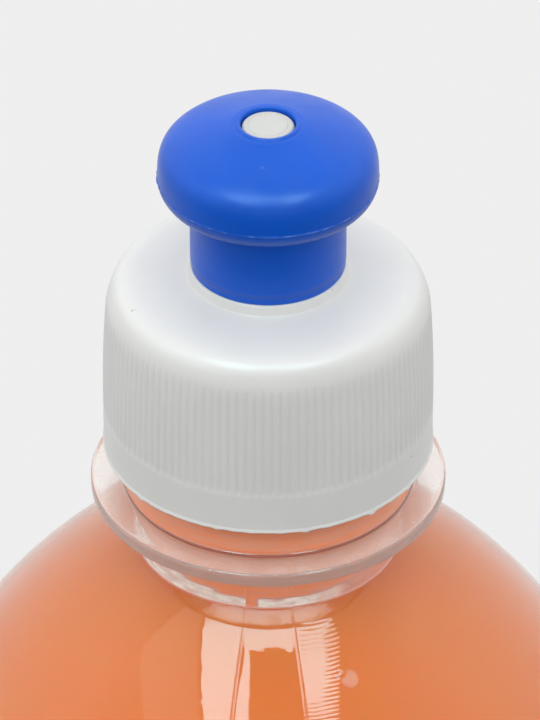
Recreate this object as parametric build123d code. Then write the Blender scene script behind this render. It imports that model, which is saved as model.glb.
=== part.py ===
from build123d import *
import math
import os

# A clear blown bottle of liquid soap, with a screw-on cap and a push-pull nozzle.
# Millimetres, +Z up. The origin is on the table, at the middle of the foot.

# Bottle body
body_radius = 40.0
body_wall = 0.5
heel_radius = 9.0
foot_land = 4.0
push_up_height = 8.0
shoulder_radius = 61.0

# Neck, with heights counted from the top of the support ring
ring_top_height = 238.0
ring_radius = 16.5
ring_thickness = 1.43
ring_edge_radius = 0.35
lower_neck_radius = 12.5
lower_neck_length = 5.4
neck_root_radius = 1.5
upper_neck_radius = 13.4
upper_neck_fillet = 0.5
neck_height = 19.5
neck_bore_radius = 10.87
rim_edge_radius = 0.4
bead_radius = 14.0
bead_height = 1.6
bead_rise = 4.6

# Screw thread, the same form on the neck and in the cap
thread_pitch = 3.18
thread_turns = 1.8
thread_outer_radius = 13.715
thread_root_radius = 12.47
thread_foot_width = 2.0
thread_crest_width = 0.9
thread_drop = 2.9
thread_sink = 0.3
thread_clearance = 0.3

# Liquid soap
soap_clearance = 0.1
soap_rise = 13.0

# Sealing washer
washer_thickness = 1.0
washer_inner_radius = 9.6
washer_outer_radius = 12.35

# Cap, with heights counted from its lower edge
cap_lift = 3.85
band_radius = 15.22
band_height = 3.7
cap_edge_radius = 0.25
barrel_radius = 125.0
barrel_start = 5.15
skirt_height = 15.05
top_edge_lean = 14.8
top_edge_reach = 3.87
boss_foot_height = 18.59
boss_foot_radius = 7.6
boss_radius = 7.2
boss_height = 0.84
top_slope = 11.0
top_reach = 5.68

# Grip ribs round the skirt
rib_count = 120
rib_depth = 0.28
rib_groove_width = 0.4
rib_top_margin = 0.9

# Chimney and plug post inside the nozzle
chimney_radius = 5.5
chimney_bore_radius = 4.3
chimney_bead_depth = 0.4
chimney_bead_height = 0.8
chimney_lip = 0.4
post_radius = 2.4
post_recess = 0.45
post_edge_radius = 0.35
spoke_count = 3
spoke_width = 1.2
spoke_height = 1.6

# Push-pull nozzle, with heights counted from its lower edge
nozzle_travel = 4.5
stop_gap = 0.15
slide_clearance = 0.2
sleeve_radius = 7.1
sleeve_bevel = 0.1
nozzle_bead_rise = 0.7
nozzle_bead_height = 0.9
dome_radius = 10.08
dome_equator_height = 9.4
dome_under_radius = 1.9
dome_crown_height = 5.65
crown_slope = 15.0
crown_reach = 7.5
crown_drop = 3.34
mouth_rim_radius = 2.63
mouth_bore_radius = 2.5
mouth_land = 1.7
nozzle_bore_height = 9.7
ceiling_radius = 3.4
ceiling_height = 12.9

# How far cutting shapes run past what they cut
overrun = 1.0

# Levels worked out from the sizes above
ring_bottom = ring_top_height - ring_thickness
shoulder_top = ring_bottom - lower_neck_length
rim_level = ring_top_height + neck_height
plate_level = rim_level + washer_thickness
cap_bottom = ring_top_height + cap_lift
band_top = cap_bottom + band_height
barrel_level = cap_bottom + barrel_start
skirt_top = cap_bottom + skirt_height
boss_foot_level = cap_bottom + boss_foot_height
boss_top = boss_foot_level + boss_height
mouth_level = boss_top + dome_equator_height + dome_crown_height
chimney_bead_level = boss_top + nozzle_bead_rise + nozzle_bead_height + nozzle_travel + stop_gap
chimney_top = chimney_bead_level + chimney_bead_height + chimney_lip
thread_middle = rim_level - thread_drop - thread_turns * thread_pitch / 2

# Shoulder arc: its centre stands beside the axis, level with the top of the straight body
shoulder_offset = body_radius - shoulder_radius
shoulder_span = math.sqrt(shoulder_radius**2 - (lower_neck_radius - shoulder_offset) ** 2)
shoulder_centre_level = shoulder_top - shoulder_span

# Push-up: the sphere that hollows the base
push_up_chord = body_radius - heel_radius - foot_land
push_up_radius = (push_up_chord**2 + push_up_height**2) / (2 * push_up_height)


def disc(radius, bottom, top):
    """Upright cylinder on the axis, from one level to another."""
    return Pos(0, 0, bottom) * Cylinder(radius, top - bottom, align=(Align.CENTER, Align.CENTER, Align.MIN))


def turned(outline):
    """Solid of revolution of a closed outline given as (radius, level) edges."""
    return revolve(Plane.XZ * make_face(outline), Axis.Z)


def soften(solid, radius, level, edge_radius):
    """Round the circular edge of that radius and level."""
    rings = solid.edges().filter_by(GeomType.CIRCLE)
    edge = min(rings, key=lambda e: abs(e.radius - radius) + abs(e.arc_center.Z - level))
    return fillet(edge, edge_radius)


def shoulder_level(radius, inset):
    """Height of the shoulder arc, drawn in by the inset, at a radius."""
    return shoulder_centre_level + math.sqrt((shoulder_radius - inset) ** 2 - (radius - shoulder_offset) ** 2)


def bottle_form(inset, neck_radius, top):
    """Solid body, shoulder and straight neck, drawn in from the outside by the inset."""
    side = body_radius - inset
    arc_radius = shoulder_radius - inset
    neck_foot = shoulder_level(neck_radius, inset)
    heel = Line((0, inset), (side - heel_radius + inset, inset))
    corner = CenterArc((side - heel_radius + inset, heel_radius), heel_radius - inset, -90, 90)
    wall = Line((side, heel_radius), (side, shoulder_centre_level))
    rise = math.degrees(math.atan2(neck_foot - shoulder_centre_level, neck_radius - shoulder_offset))
    shoulder = CenterArc((shoulder_offset, shoulder_centre_level), arc_radius, 0, rise)
    neck = Polyline((neck_radius, neck_foot), (neck_radius, top), (0, top), (0, inset))
    solid = turned([heel, corner, wall, shoulder, neck])
    solid = soften(solid, neck_radius, neck_foot, neck_root_radius)
    return solid - Pos(0, 0, push_up_height - push_up_radius) * Sphere(push_up_radius + inset)


def thread_ridge(foot_radius, crest_radius, middle_level):
    """Right-hand helical ridge whose flanks run on into the wall that carries it."""
    depth = crest_radius - foot_radius
    sunk_radius = foot_radius - math.copysign(thread_sink, depth)
    half_foot = thread_foot_width / 2
    half_crest = thread_crest_width / 2
    half_sunk = half_foot + (half_foot - half_crest) * thread_sink / abs(depth)
    height = thread_turns * thread_pitch
    start = middle_level - height / 2
    section = Polyline(
        (sunk_radius, start - half_sunk),
        (crest_radius, start - half_crest),
        (crest_radius, start + half_crest),
        (sunk_radius, start + half_sunk),
        close=True,
    )
    path = Pos(0, 0, start) * Helix(thread_pitch, height, (sunk_radius + crest_radius) / 2)
    return sweep(Plane.XZ * make_face(section), path=path, is_frenet=True)


def bottle():
    """Clear one-piece bottle with its support ring, bead and neck thread."""
    neck = soften(disc(thread_root_radius, ring_bottom, rim_level), thread_root_radius, rim_level, rim_edge_radius)
    neck += thread_ridge(thread_root_radius, thread_outer_radius, thread_middle)
    collar = disc(ring_radius, ring_bottom, ring_top_height)
    collar += disc(upper_neck_radius, ring_bottom, ring_top_height + bead_rise)
    collar += disc(bead_radius, ring_top_height + bead_rise, ring_top_height + bead_rise + bead_height)
    collar = soften(collar, ring_radius, ring_top_height, ring_edge_radius)
    collar = soften(collar, ring_radius, ring_bottom, ring_edge_radius)
    collar = soften(collar, upper_neck_radius, ring_top_height, upper_neck_fillet)
    outside = bottle_form(0, lower_neck_radius, ring_bottom) + collar + neck
    return outside - bottle_form(body_wall, neck_bore_radius, rim_level + overrun)


def liquid_soap():
    """The soap, filling the bottle up into its neck."""
    return bottle_form(body_wall + soap_clearance, neck_bore_radius - soap_clearance, ring_top_height + soap_rise)


def sealing_washer():
    """Foam ring pinched between the neck's rim and the cap."""
    return disc(washer_outer_radius, rim_level, plate_level) - disc(washer_inner_radius, rim_level, plate_level)


def cap_outside():
    """Solid form of the cap: band, barrelled skirt, domed top and boss."""
    barrel_turn = math.degrees(math.asin((skirt_top - barrel_level) / barrel_radius))
    barrel = CenterArc((band_radius - barrel_radius, barrel_level), barrel_radius, 0, barrel_turn)
    side_top = barrel @ 1
    lean = math.radians(top_edge_lean)
    edge_handle = (side_top.X - top_edge_reach * math.sin(lean), skirt_top + top_edge_reach * math.cos(lean))
    slope = math.radians(top_slope)
    foot = (boss_foot_radius, boss_foot_level)
    top_handle = (foot[0] + top_reach * math.cos(slope), foot[1] - top_reach * math.sin(slope))
    straight = Polyline((0, cap_bottom), (band_radius, cap_bottom), (band_radius, barrel_level))
    dome = Bezier(side_top, edge_handle, top_handle, foot)
    boss = Polyline(foot, (boss_radius, boss_top), (0, boss_top), (0, cap_bottom))
    return soften(turned([straight, barrel, dome, boss]), band_radius, cap_bottom, cap_edge_radius)


def rib_grooves():
    """Upright grooves between the grip ribs, following the barrelled skirt."""
    top = skirt_top + rib_top_margin
    centre = (band_radius - barrel_radius, barrel_level)
    bottom_angle = math.degrees(math.asin((band_top - barrel_level) / (barrel_radius - rib_depth)))
    top_angle = math.degrees(math.asin((top - barrel_level) / (barrel_radius - rib_depth)))
    outer = band_radius + overrun
    floor = CenterArc(centre, barrel_radius - rib_depth, bottom_angle, top_angle - bottom_angle)
    rest = Polyline(floor @ 1, (outer, top), (outer, band_top), floor @ 0)
    groove = extrude(Plane.XZ * make_face([floor, rest]), rib_groove_width / 2, both=True)
    return [Rot(0, 0, index * 360 / rib_count) * groove for index in range(rib_count)]


def chimney():
    """Outlet tube with its snap bead, spokes and plug post."""
    bead_radius_here = chimney_radius + chimney_bead_depth
    bead_top = chimney_bead_level + chimney_bead_height
    tube = disc(chimney_radius, plate_level, chimney_top)
    bead_edge = Polyline(
        (0, chimney_bead_level),
        (bead_radius_here, chimney_bead_level),
        (bead_radius_here, bead_top - chimney_bead_depth),
        (chimney_radius, bead_top),
        (0, bead_top),
        close=True,
    )
    tube += turned(bead_edge)
    tube -= disc(chimney_bore_radius, plate_level - overrun, chimney_top + overrun)
    post_top = mouth_level - post_recess
    spoke_bottom = chimney_top - spoke_height
    post = soften(disc(post_radius, spoke_bottom, post_top), post_radius, post_top, post_edge_radius)
    spoke_reach = (chimney_bore_radius + chimney_radius) / 2
    spoke = Pos(0, 0, spoke_bottom) * Box(
        spoke_reach, spoke_width, spoke_height, align=(Align.MIN, Align.CENTER, Align.MIN)
    )
    for index in range(spoke_count):
        post += Rot(0, 0, index * 360 / spoke_count) * spoke
    return tube + post


def cap_body():
    """White cap moulded in one piece: ribbed skirt, inner thread, top, chimney and plug."""
    inner_radius = thread_outer_radius + thread_clearance
    shell = cap_outside()
    shell -= disc(bead_radius + thread_clearance, cap_bottom - overrun, band_top)
    shell -= disc(inner_radius, cap_bottom - overrun, plate_level)
    shell -= disc(chimney_bore_radius, plate_level - overrun, boss_top + overrun)
    shell += thread_ridge(inner_radius, thread_root_radius + thread_clearance, thread_middle - thread_pitch / 2)
    shell += chimney()
    return shell - rib_grooves()


def nozzle_bore():
    """Space inside the nozzle: slide bore, snap bead, tapered ceiling and mouth."""
    bore_radius = chimney_radius + chimney_bead_depth + slide_clearance
    bead_radius_here = chimney_radius + slide_clearance
    bead_bottom = boss_top + nozzle_bead_rise
    bead_top = bead_bottom + nozzle_bead_height
    bead_depth = bore_radius - bead_radius_here
    space = Polyline(
        (0, boss_top - overrun),
        (bore_radius, boss_top - overrun),
        (bore_radius, bead_bottom),
        (bead_radius_here, bead_bottom + bead_depth),
        (bead_radius_here, bead_top),
        (bore_radius, bead_top),
        (bore_radius, boss_top + nozzle_bore_height),
        (ceiling_radius, boss_top + ceiling_height),
        (mouth_bore_radius, mouth_level - mouth_land),
        (mouth_bore_radius, mouth_level + overrun),
        (0, mouth_level + overrun),
        close=True,
    )
    return turned(space)


def nozzle():
    """Blue push-pull nozzle: sleeve, domed grip and mouth."""
    equator = boss_top + dome_equator_height
    under = equator - dome_under_radius
    slope = math.radians(crown_slope)
    rim = (mouth_rim_radius, mouth_level)
    crown_handle = (rim[0] + crown_reach * math.cos(slope), mouth_level - crown_reach * math.sin(slope))
    sleeve = Polyline(
        (0, boss_top),
        (sleeve_radius - sleeve_bevel, boss_top),
        (sleeve_radius, boss_top + sleeve_bevel),
        (sleeve_radius, under),
        (dome_radius - dome_under_radius, under),
    )
    belly = CenterArc((dome_radius - dome_under_radius, equator), dome_under_radius, -90, 90)
    crown = Bezier((dome_radius, equator), (dome_radius, equator + crown_drop), crown_handle, rim)
    mouth = Polyline(rim, (0, mouth_level), (0, boss_top))
    return turned([sleeve, belly, crown, mouth]) - nozzle_bore()


os.makedirs("parts", exist_ok=True)
for make_piece in (bottle, liquid_soap, sealing_washer, cap_body, nozzle):
    export_step(make_piece(), f"parts/{make_piece.__name__}.step")
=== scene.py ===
"""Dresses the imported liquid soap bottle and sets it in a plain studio.

Every piece is a surface of revolution worked out with numpy: an outline of
(radius, level) points is carried round the bottle's axis, and ribs, threads,
seams and burrs are added to its radius as functions of angle and height.
"""
import math

import bpy
import numpy as np
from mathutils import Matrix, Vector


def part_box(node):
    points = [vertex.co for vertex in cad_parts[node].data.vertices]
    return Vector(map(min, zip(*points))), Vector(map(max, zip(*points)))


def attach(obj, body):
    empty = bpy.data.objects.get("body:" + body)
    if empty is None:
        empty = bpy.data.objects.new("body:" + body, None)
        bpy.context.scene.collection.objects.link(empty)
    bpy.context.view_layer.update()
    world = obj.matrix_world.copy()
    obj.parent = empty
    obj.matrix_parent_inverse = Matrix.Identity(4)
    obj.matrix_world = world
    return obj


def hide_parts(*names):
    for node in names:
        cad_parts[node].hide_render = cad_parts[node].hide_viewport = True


bl_info = {
    "name": "Liquid Soap Bottle",
    "version": (1, 0, 0),
    "blender": (4, 5, 0),
    "location": "View3D > Sidebar > Soap Bottle",
    "description": "Clear bottle of orange soap with a ribbed screw cap and a push-pull nozzle",
    "category": "Object",
}

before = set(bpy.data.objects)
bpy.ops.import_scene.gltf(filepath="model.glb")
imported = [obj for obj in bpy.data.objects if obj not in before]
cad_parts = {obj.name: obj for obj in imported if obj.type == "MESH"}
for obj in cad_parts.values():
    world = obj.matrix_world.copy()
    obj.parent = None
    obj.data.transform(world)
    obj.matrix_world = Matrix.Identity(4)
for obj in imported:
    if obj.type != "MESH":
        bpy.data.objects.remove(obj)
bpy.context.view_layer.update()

MM = 0.001
FULL_TURN = 2 * math.pi


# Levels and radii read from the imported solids, in millimetres

def node_top(node):
    """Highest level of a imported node, in millimetres."""
    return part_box(node)[1].z / MM


def node_bottom(node):
    """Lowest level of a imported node, in millimetres."""
    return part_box(node)[0].z / MM


def node_radius(node):
    """Outer radius of a packed round node, in millimetres."""
    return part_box(node)[1].x / MM


def number(words, value, **more):
    """A plain number property."""
    return bpy.props.FloatProperty(description=words, default=value, **more)


def size(words, millimetres):
    """A length property with its default in millimetres."""
    return number(words, millimetres * MM, precision=5, subtype="DISTANCE")


def angle(words, degrees):
    """An angle property with its default in degrees."""
    return number(words, math.radians(degrees), subtype="ANGLE")


def share(words, value):
    """A plain factor property."""
    return number(words, value, subtype="FACTOR")


def colour(words, value):
    """A linear colour property."""
    return bpy.props.FloatVectorProperty(
        description=words, default=value, size=3, min=0.0, max=1.0, subtype="COLOR"
    )


class SoapBottleSizes(bpy.types.PropertyGroup):
    """Sizes of the clear bottle, its neck thread and the soap."""

    body_radius: size("Outside of the straight body", node_radius("bottle"))
    wall: size("Thickness of the blown wall", 0.5)
    heel_radius: size("Rounding between the body and the foot", 9.0)
    foot_land: size("Width of the flat ring that the bottle stands on", 4.0)
    push_up: size("Height of the hollow in the base", 8.0)
    shoulder_radius: size("Radius of the shoulder's arc", 61.0)
    ring_level: size("Height of the support ring's top face", node_bottom("cap_body") - 3.85)
    ring_radius: size("Outside of the support ring", 16.5)
    ring_thickness: size("Thickness of the support ring", 1.43)
    ring_rounding: size("Rounding of the support ring's edges", 0.35)
    lower_neck_radius: size("Neck under the support ring", 12.5)
    lower_neck_length: size("Straight neck under the support ring", 5.4)
    neck_root: size("Rounding between the neck and the shoulder", 0.5)
    upper_neck_radius: size("Neck above the support ring", 13.4)
    bead_radius: size("Bead under the cap's band", 14.0)
    bead_rise: size("Bead's lower edge above the ring", 4.6)
    bead_height: size("Height of the bead", 1.6)
    bore_radius: size("Inside of the neck", 10.87)
    rim_level: size("Top of the neck", node_top("bottle"))
    thread_root: size("Radius at the foot of the neck's thread", 12.47)
    thread_crest: size("Radius at the top of the neck's thread", 13.715)
    thread_pitch: size("Rise of the thread in one turn", 3.18)
    thread_foot: size("Width of the thread at its foot", 2.0)
    thread_land: size("Width of the thread at its crest", 0.9)
    thread_drop: size("Top turn's middle below the rim", 2.9)
    thread_turns: number("Length of the thread in turns", 1.8)
    soap_level: size("Top of the soap in the neck", node_top("liquid_soap"))
    soap_overlap: size("How far the soap's skin lies inside the wall", 0.1)
    seam_height: size("Height of the mould seams on the shoulder", 0.07)
    plastic_tint: colour("Tint of the clear plastic", (0.975, 0.975, 0.965))
    # This colour is used for the real clouding and for the painted highlight at the neck's root
    haze_and_highlight_tint: colour("Colour of the clouded plastic at the neck", (0.95, 0.88, 0.8))
    ring_haze: share("How clouded the support ring is at its upper edge", 0.27)
    neck_haze: share("How clouded the neck above the ring is", 0.03)
    # Painted highlight: the pale band at the neck's root stands for the lamps mirrored in the root's fillet,
    # painted in the haze colour
    root_highlight: share("How clouded the pale band at the neck's root is", 0.9)
    film_tint: colour("Colour of the soap film that clings to the neck", (0.97, 0.25, 0.06))
    upper_film: share("How much soap clings to the neck above the ring", 0.95)
    lower_film: share("How much soap clings to the neck under the ring", 0.85)
    ring_film: share("How much of the soap's colour shows in the support ring", 0.06)
    soap_tint: colour("Colour of the cloudy soap", (0.95, 0.313, 0.086))
    soap_glow: size("How far light wanders in the soap", 18.0)


class SoapCapSizes(bpy.types.PropertyGroup):
    """Sizes of the white screw cap and its foam washer."""

    lower_edge: size("Level of the cap's lower edge", node_bottom("cap_body"))
    band_radius: size("Outside of the plain band", 15.22)
    band_height: size("Height of the plain band", 3.7)
    band_inside: size("Inside of the plain band", 14.3)
    edge_rounding: size("Rounding of the lower edge", 0.25)
    edge_lip: size("How far the flash on the lower edge stands out", 0.1)
    barrel_radius: size("Curve of the skirt's side", 125.0)
    barrel_start: size("Where the side starts to lean in, above the lower edge", 5.15)
    skirt_height: size("Where the top edge starts, above the lower edge", 15.05)
    edge_lean: angle("Lean of the side where the top edge starts", 14.8)
    edge_reach: size("How far the side carries on into the top edge", 3.87)
    top_slope: angle("Slope of the top at the boss", 10.0)
    top_reach: size("How far the slope carries out from the boss", 5.68)
    boss_foot_radius: size("Foot of the boss under the nozzle", 7.32)
    boss_foot_height: size("Foot of the boss above the lower edge", 18.4)
    boss_radius: size("Top of the boss", 7.2)
    boss_height: size("Height of the boss", 1.03)
    rib_count: bpy.props.IntProperty(description="Number of grip ribs", default=120, min=3)
    rib_depth: size("Depth of the grooves between the ribs", 0.13)
    rib_fade: size("Height over which the grooves die out at the top", 1.5)
    inner_radius: size("Inside of the skirt", 14.015)
    thread_crest: size("Inside of the cap's thread", 12.77)
    plate_level: size("Underside of the cap's top", node_top("sealing_washer"))
    chimney_radius: size("Outside of the outlet tube", 5.5)
    chimney_bore: size("Inside of the outlet tube", 4.3)
    chimney_bead: size("Depth of the tube's snap bead", 0.4)
    chimney_height: size("Top of the outlet tube above the boss", 7.45)
    chimney_lip: size("Plain end of the outlet tube above its bead", 0.4)
    chimney_bead_height: size("Height of the snap bead", 0.8)
    post_radius: size("Radius of the plug post", 2.4)
    post_top: size("Level of the plug's tip", node_top("cap_body") + 0.2)
    spoke_width: size("Width of the spokes that carry the post", 1.2)
    spoke_height: size("Height of the spokes", 1.6)
    washer_inside: size("Inner radius of the foam washer", 9.6)
    washer_outside: size("Outer radius of the foam washer", node_radius("sealing_washer"))
    washer_bottom: size("Lower face of the foam washer", node_bottom("sealing_washer"))
    white: colour("Colour of the cap", (0.76, 0.766, 0.747))
    # Painted shade: the plug is darker than the cap to stand for the shade of its recess in the mouth
    tip_shade: share("Brightness of the shaded plug beside the cap", 0.72)
    foam: colour("Colour of the washer", (0.8, 0.79, 0.76))


class SoapNozzleSizes(bpy.types.PropertyGroup):
    """Sizes of the blue push-pull nozzle."""

    lower_edge: size("Level of the sleeve's lower edge", node_bottom("nozzle"))
    mouth_level: size("Top of the nozzle", node_top("nozzle"))
    sleeve_radius: size("Outside of the sleeve", 7.1)
    sleeve_bevel: size("Bevel of the sleeve's lower edge", 0.1)
    sleeve_line: size("Fine step round the sleeve, above the lower edge", 0.8)
    bore_radius: size("Inside of the sleeve", 6.1)
    bead_radius: size("Inside of the snap bead", 5.7)
    bead_rise: size("Snap bead above the lower edge", 0.7)
    bead_height: size("Height of the snap bead", 0.9)
    dome_radius: size("Widest radius of the dome", node_radius("nozzle"))
    equator_height: size("Widest part above the lower edge", 9.4)
    under_radius: size("Rounding under the dome", 1.9)
    crown_slope: angle("Slope of the crown at the mouth", 15.0)
    crown_reach: size("How far the slope carries out from the mouth", 7.5)
    crown_drop: size("How far the dome's side rises upright", 3.34)
    mouth_rim: size("Radius of the mouth's rim", 2.63)
    mouth_bore: size("Radius of the mouth's hole", 2.5)
    mouth_land: size("Length of the mouth's hole", 1.7)
    bore_height: size("Depth of the plain bore", 9.7)
    ceiling_radius: size("Radius where the bore meets the mouth", 3.4)
    ceiling_height: size("Level of that meeting above the lower edge", 12.9)
    flash_height: size("How far the mould's flash stands out at the equator", 0.09)
    blue: colour("Colour of the nozzle", (0.0, 0.095, 0.61))


class SoapStudioSizes(bpy.types.PropertyGroup):
    """Camera, lamps and backdrop."""

    aim_rise: size("Height of the camera's aim above the support ring", 12.324)
    aim_side: size("Sideways offset of the camera's aim", 0.167)
    camera_distance: size("From the aim to the camera", 550.0)
    camera_elevation: angle("How steeply the camera looks down", 35.306)
    lens: number("Focal length of the camera in millimetres", 299.45)
    floor_width: size("Width of the floor", 24000.0)
    backdrop: colour("Colour of the floor and the backdrop", (0.866, 0.866, 0.866))
    floor_tone: share("How much light the floor sends back up", 0.16)
    floor_glow: share("Strength of the floor's own glow", 1.134)
    floor_cover: share("How much of the seen floor is glow", 0.84)
    mirrored_low: share("Brightness of the floor behind in shiny faces", 0.75)
    mirrored_high: share("Brightness of the upper room in shiny faces", 1.15)
    mirrored_front: share("Share of that brightness on the camera's side", 0.07)
    mirrored_top: share("Share of that brightness straight above", 0.3)
    side_light: share("Strength of the even light from the sides", 0.92)
    top_light: share("Strength of the even light from straight above", 1.48)
    right_light: share("Share of the even light on the right of the room", 0.86)
    lamp_light: share("Share of the lamps' shine that they give as light", 0.3)
    lamp_height: size("Height of the lamps above the support ring", 900.0)
    lamp_tint: colour("Colour of the lamps' light", (0.93, 0.98, 1.0))
    shine_tint: colour("Colour of the lamps in shiny faces", (0.55, 0.97, 1.0))


# Outlines

SAME_PLACE = 1e-7  # metres between points that count as one
THREAD_END = 0.05  # of a turn, over which the thread dies out


def arc(centre, radius, start, end, count):
    """Points centre + radius (cos t, sin t), with t from start to end in degrees."""
    turn = np.radians(np.linspace(start, end, count))
    return np.stack([centre[0] + radius * np.cos(turn), centre[1] + radius * np.sin(turn)], axis=1)


def bezier(start, first, second, end, count):
    """Cubic curve with weights (1-t)^3, 3t(1-t)^2, 3t^2(1-t) and t^3."""
    t = np.linspace(0, 1, count)[:, None]
    weights = ((1 - t) ** 3, 3 * t * (1 - t) ** 2, 3 * t**2 * (1 - t), t**3)
    return sum(weight * np.array(point) for weight, point in zip(weights, (start, first, second, end)))


def rounded(corners, steps=6):
    """Outline through (radius, level, rounding) corners.

    Each inner corner is an arc that touches both sides:
    centre + (sin((1-t)w) a + sin(tw) b) / sin(w), with a and b the spokes to
    the touching points and w the angle between them.
    """
    points = np.array([corner[:2] for corner in corners], dtype=float)
    parts = [points[:1]]
    roundings = [corner[2] for corner in corners[1:]]
    for before, corner, after, rounding in zip(points, points[1:], points[2:], roundings):
        if rounding <= 0:
            parts.append(corner[None])
            continue
        back = (before - corner) / np.linalg.norm(before - corner)
        ahead = (after - corner) / np.linalg.norm(after - corner)
        half = math.acos(np.clip(back @ ahead, -1, 1)) / 2
        centre = corner + (back + ahead) / np.linalg.norm(back + ahead) * rounding / math.sin(half)
        reach = rounding / math.tan(half)
        spokes = corner + back * reach - centre, corner + ahead * reach - centre
        turn = math.pi - 2 * half
        t = np.linspace(0, 1, steps)[:, None]
        swing = np.sin((1 - t) * turn) * spokes[0] + np.sin(t * turn) * spokes[1]
        parts.append(centre + swing / math.sin(turn))
    parts.append(points[-1:])
    return np.concatenate(parts)


def densified(outline, longest):
    """The outline with its longer spans divided evenly, so that none is over the longest."""
    spans = np.linalg.norm(np.diff(outline, axis=0), axis=1)
    counts = np.maximum(1, np.ceil(spans / longest)).astype(int)
    first = np.repeat(np.arange(len(spans)), counts)
    within = np.arange(counts.sum()) - np.repeat(np.cumsum(counts) - counts, counts)
    t = (within / counts[first])[:, None]
    dense = outline[first] * (1 - t) + outline[first + 1] * t
    return np.concatenate([dense, outline[-1:]])


def without_repeats(outline):
    """The outline without points that lie on the one before."""
    apart = np.linalg.norm(np.diff(outline, axis=0), axis=1) > SAME_PLACE
    return outline[np.concatenate([[True], apart])]


def smooth_step(low, high, value):
    """0 below low, 1 above high and 3t^2 - 2t^3 between."""
    t = np.clip((value - low) / (high - low), 0, 1)
    return t * t * (3 - 2 * t)


def plateau(rise, fall, value):
    """1 between the rise and the fall and 0 outside, each of them a (low, high) smooth step."""
    return smooth_step(*rise, value) * (1 - smooth_step(*fall, value))


def upright(radius, levels):
    """Points at one radius and at the given levels."""
    return np.stack([np.full(len(levels), radius), levels], axis=1)


def hand_wobble(angles, seed, waves):
    """Sum of a few sine waves round the axis, between about -1 and 1, the same in every run."""
    draw = np.random.default_rng(seed)
    total = np.zeros_like(angles)
    for count in waves:
        total = total + math.sqrt(1 / len(waves)) * np.sin(count * angles + draw.uniform(0, FULL_TURN))
    return total


def even_angles(count):
    """So many even angles round the axis, in one row."""
    return np.radians(np.linspace(0, 360, count, endpoint=False))[None]


def thread_ridge(bottle, angles, levels, lag):
    """Height from 0 to 1 of a right-hand screw ridge with a trapezoid section.

    The ridge's middle is at start + pitch (a / 2 pi + k) on turn k, and its
    height falls from 1 at half the land to 0 at half the foot. The lag lowers
    it, in half pitches.
    """
    pitch, turns = bottle.thread_pitch, bottle.thread_turns
    foot, land = bottle.thread_foot / 2, bottle.thread_land / 2
    start = bottle.rim_level - bottle.thread_drop - (turns + lag / 2) * pitch
    height = np.zeros(np.broadcast(angles, levels).shape)
    for turn in range(math.ceil(turns) + 1):
        along = angles / FULL_TURN + turn
        away = np.abs(levels - start - pitch * along)
        flank = np.clip((foot - away) / (foot - land), 0, 1)
        ends = plateau((0, THREAD_END), (turns - THREAD_END, turns), along)
        height = np.maximum(height, flank * ends)
    return height


# Meshes

def skinned(points, loop):
    """Faces over a grid of points (i, j): i runs along an outline and j round it.

    A loop's last row joins its first. Otherwise the first and last rows are
    one point each, closed by a fan.
    """
    rows, columns = points.shape[:2]
    if loop:
        index = np.arange(rows * columns).reshape(rows, columns)
        low, high = index, np.roll(index, -1, axis=0)
        corners = points.reshape(-1, 3)
        fans = np.empty((0, 3), dtype=int)
    else:
        index = np.arange((rows - 2) * columns).reshape(rows - 2, columns)
        low, high = index[:-1], index[1:]
        corners = np.concatenate([points[1:-1].reshape(-1, 3), points[[0, -1]].mean(axis=1)])
        ends = index[[0, -1]]
        after = np.roll(ends, -1, axis=1)
        bottom = np.stack([np.full(columns, index.size), after[0], ends[0]], axis=1)
        top = np.stack([np.full(columns, index.size + 1), ends[1], after[1]], axis=1)
        fans = np.concatenate([bottom, top])
    quads = np.stack([low, np.roll(low, -1, axis=1), np.roll(high, -1, axis=1), high], axis=-1)
    return corners, quads.reshape(-1, 4), fans


def spin(radii, levels, angles, loop):
    """Surface of revolution: point (i, j) is (r cos a, r sin a, z)."""
    radii, levels, angles = np.broadcast_arrays(radii, levels, angles)
    return skinned(np.stack([radii * np.cos(angles), radii * np.sin(angles), levels], axis=-1), loop)


def joined(*solids):
    """Several (corners, quads, fans) sets as one."""
    shifts = np.cumsum([0] + [len(corners) for corners, _, _ in solids[:-1]])
    corners = np.concatenate([corners for corners, _, _ in solids])
    quads = np.concatenate([quads + shift for (_, quads, _), shift in zip(solids, shifts)])
    fans = np.concatenate([fans + shift for (_, _, fans), shift in zip(solids, shifts)])
    return corners, quads, fans


def add_marks(piece, name, marks):
    """Stores a number on each point of an open spun mesh, from a grid like the one given to spin."""
    values = np.concatenate([marks[1:-1].ravel(), marks[[0, -1]].mean(axis=1)])
    layer = piece.data.attributes.new(name, "FLOAT", "POINT")
    layer.data.foreach_set("value", values.astype(np.float32))


def make_piece(name, solid, material, body, node):
    """Writes a mesh, gives it its finish, ties it to its body and hides the imported node that it replaces.
    """
    corners, quads, fans = solid
    mesh = bpy.data.meshes.new(name)
    mesh.vertices.add(len(corners))
    mesh.vertices.foreach_set("co", np.ascontiguousarray(corners, dtype=np.float32).ravel())
    mesh.loops.add(quads.size + fans.size)
    mesh.loops.foreach_set("vertex_index", np.concatenate([quads.ravel(), fans.ravel()]).astype(np.int32))
    mesh.polygons.add(len(quads) + len(fans))
    starts = np.concatenate([np.arange(len(quads)) * 4, quads.size + np.arange(len(fans)) * 3])
    mesh.polygons.foreach_set("loop_start", starts.astype(np.int32))
    mesh.polygons.foreach_set("use_smooth", np.ones(len(starts), dtype=bool))
    mesh.update(calc_edges=True)
    mesh.validate()
    mesh.materials.append(material)
    piece = bpy.data.objects.new(name, mesh)
    bpy.context.scene.collection.objects.link(piece)
    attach(piece, body)
    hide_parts(node)
    return piece


# Materials

NOISE_CORE = (0.3, 0.7)  # the part of a noise's range that the finishes use
MOULDED_IOR = 1.49
BLOWN_IOR = 1.57
DIRT = (0.16, 0.13, 0.11)
SCUFF = (0.14, 0.3, 0.8)
TORN_EDGE = (0.3, 0.45, 0.85)


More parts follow.
